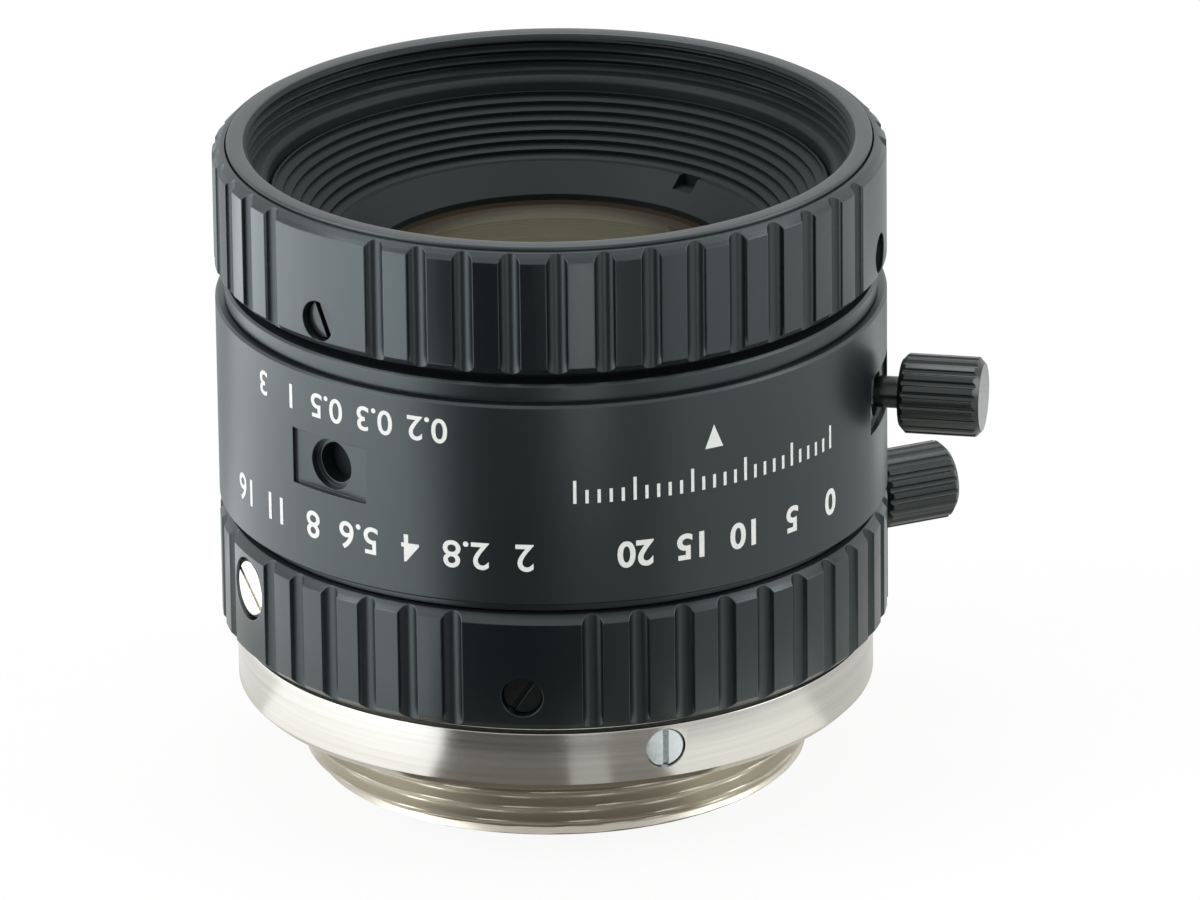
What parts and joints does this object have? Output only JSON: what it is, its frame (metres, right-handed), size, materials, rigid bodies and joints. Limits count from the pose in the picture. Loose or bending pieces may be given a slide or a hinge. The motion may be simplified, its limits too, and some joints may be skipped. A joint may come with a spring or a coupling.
{
  "type": "c-mount machine vision lens",
  "caption": "Black anodised C-mount machine vision lens with fluted focus and iris rings, locking thumbscrews, a plated mount ring and a working iris.",
  "frame": {"origin": "on the optical axis at the flange face, where the lens seats on a camera", "axes": "+Z along the optical axis, out of the front of the lens; -Y is the side the picture shows"},
  "size_m": [0.0384, 0.0334, 0.0325],
  "materials": {
    "black_anodised": "satin black anodised",
    "matt_black_anodised": "matt black anodised, against stray light",
    "nickel_plate": "fine turned, bright nickel plated",
    "brass_cam": "turned",
    "black_steel": "black oxide",
    "plated_steel": "nickel plated",
    "blade_steel": "blackened spring steel",
    "coated_glass": "polished, anti-reflection coated",
    "pad_nylon": "moulded nylon"
  },
  "bodies": {
    "barrel": {"outer_barrel": "black_anodised", "c_mount_ring": "nickel_plate", "mount_set_screws": "plated_steel", "guide_screw": "black_steel", "focus_stop_pin": "plated_steel"},
    "optics": {"optics_barrel": "matt_black_anodised", "front_retaining_ring": "matt_black_anodised", "front_lens": "coated_glass", "front_spacer": "matt_black_anodised", "second_lens": "coated_glass", "second_spacer": "matt_black_anodised", "third_lens": "coated_glass", "iris_base": "matt_black_anodised", "rear_cell": "matt_black_anodised", "doublet_front_lens": "coated_glass", "doublet_rear_lens": "coated_glass", "rear_spacer": "matt_black_anodised", "rear_lens": "coated_glass", "rear_retaining_ring": "matt_black_anodised"},
    "focus_ring": {"focus_sleeve": "black_anodised", "swivel_ring": "matt_black_anodised", "focus_grip_ring": "black_anodised", "focus_set_screws": "black_steel"},
    "iris_ring": {"iris_grip_ring": "black_anodised", "iris_set_screws": "black_steel", "iris_drive_screw": "plated_steel"},
    "iris_cam": {"iris_cam_ring": "brass_cam"},
    "focus_lock_pad": {"focus_lock_pad": "pad_nylon"},
    "focus_lock": {"focus_lock_screw": "black_steel"},
    "iris_lock_pad": {"iris_lock_pad": "pad_nylon"},
    "iris_lock": {"iris_lock_screw": "black_steel"},
    "iris_blade_1": {"iris_blade_1": "blade_steel"},
    "iris_blade_2": {"iris_blade_2": "blade_steel"},
    "iris_blade_3": {"iris_blade_3": "blade_steel"},
    "iris_blade_4": {"iris_blade_4": "blade_steel"},
    "iris_blade_5": {"iris_blade_5": "blade_steel"},
    "iris_blade_6": {"iris_blade_6": "blade_steel"}
  },
  "joints": [
    {"name": "focus_travel", "type": "slide", "parent": "barrel", "child": "optics", "axis": [0, 0, 1], "range_m": [0, 0.001]},
    {"name": "focus_turn", "type": "hinge", "parent": "optics", "child": "focus_ring", "pos_m": [0, 0, 0.02535], "axis": [0, 0, 1], "range_deg": [0, 90]},
    {"name": "iris_turn", "type": "hinge", "parent": "barrel", "child": "iris_ring", "pos_m": [0, 0, 0.0066], "axis": [0, 0, 1], "range_deg": [0, 60]},
    {"name": "iris_cam_turn", "type": "hinge", "parent": "optics", "child": "iris_cam", "pos_m": [0, 0, 0.0074], "axis": [0, 0, 1], "range_deg": [0, 60]},
    {"name": "iris_blade_1_swing", "type": "hinge", "parent": "optics", "child": "iris_blade_1", "pos_m": [0.0094, 0, 0.0077], "axis": [0, 0, 1], "range_deg": [0, 29]},
    {"name": "iris_blade_2_swing", "type": "hinge", "parent": "optics", "child": "iris_blade_2", "pos_m": [0.0047, 0.00814, 0.0077], "axis": [0, 0, 1], "range_deg": [0, 29]},
    {"name": "iris_blade_3_swing", "type": "hinge", "parent": "optics", "child": "iris_blade_3", "pos_m": [-0.0047, 0.00814, 0.0077], "axis": [0, 0, 1], "range_deg": [0, 29]},
    {"name": "iris_blade_4_swing", "type": "hinge", "parent": "optics", "child": "iris_blade_4", "pos_m": [-0.0094, 0, 0.0077], "axis": [0, 0, 1], "range_deg": [0, 29]},
    {"name": "iris_blade_5_swing", "type": "hinge", "parent": "optics", "child": "iris_blade_5", "pos_m": [-0.0047, -0.00814, 0.0077], "axis": [0, 0, 1], "range_deg": [0, 29]},
    {"name": "iris_blade_6_swing", "type": "hinge", "parent": "optics", "child": "iris_blade_6", "pos_m": [0.0047, -0.00814, 0.0077], "axis": [0, 0, 1], "range_deg": [0, 29]},
    {"name": "focus_lock_travel", "type": "slide", "parent": "barrel", "child": "focus_lock_pad", "axis": [0.9799, -0.1994, 0], "range_m": [0, 0.0004]},
    {"name": "focus_lock_turn", "type": "hinge", "parent": "focus_lock_pad", "child": "focus_lock", "pos_m": [0.0194, -0.00395, 0.0161], "axis": [0.9799, -0.1994, 0], "range_deg": [0, 360]},
    {"name": "iris_lock_travel", "type": "slide", "parent": "iris_ring", "child": "iris_lock_pad", "axis": [0.9121, 0.4099, 0], "range_m": [0, 0.0004]},
    {"name": "iris_lock_turn", "type": "hinge", "parent": "iris_lock_pad", "child": "iris_lock", "pos_m": [0.01806, 0.00812, 0.0066], "axis": [0.9121, 0.4099, 0], "range_deg": [0, 360]}
  ],
  "couplings": [
    {"joint": "focus_turn", "follows": "focus_travel", "rad_per_m": 1570.8},
    {"joint": "iris_cam_turn", "follows": "iris_turn", "ratio": 1},
    {"joint": "iris_blade_1_swing", "follows": "iris_turn", "ratio": 0.48333},
    {"joint": "iris_blade_2_swing", "follows": "iris_turn", "ratio": 0.48333},
    {"joint": "iris_blade_3_swing", "follows": "iris_turn", "ratio": 0.48333},
    {"joint": "iris_blade_4_swing", "follows": "iris_turn", "ratio": 0.48333},
    {"joint": "iris_blade_5_swing", "follows": "iris_turn", "ratio": 0.48333},
    {"joint": "iris_blade_6_swing", "follows": "iris_turn", "ratio": 0.48333},
    {"joint": "focus_lock_turn", "follows": "focus_lock_travel", "rad_per_m": 15708},
    {"joint": "iris_lock_turn", "follows": "iris_lock_travel", "rad_per_m": 15708}
  ]
}
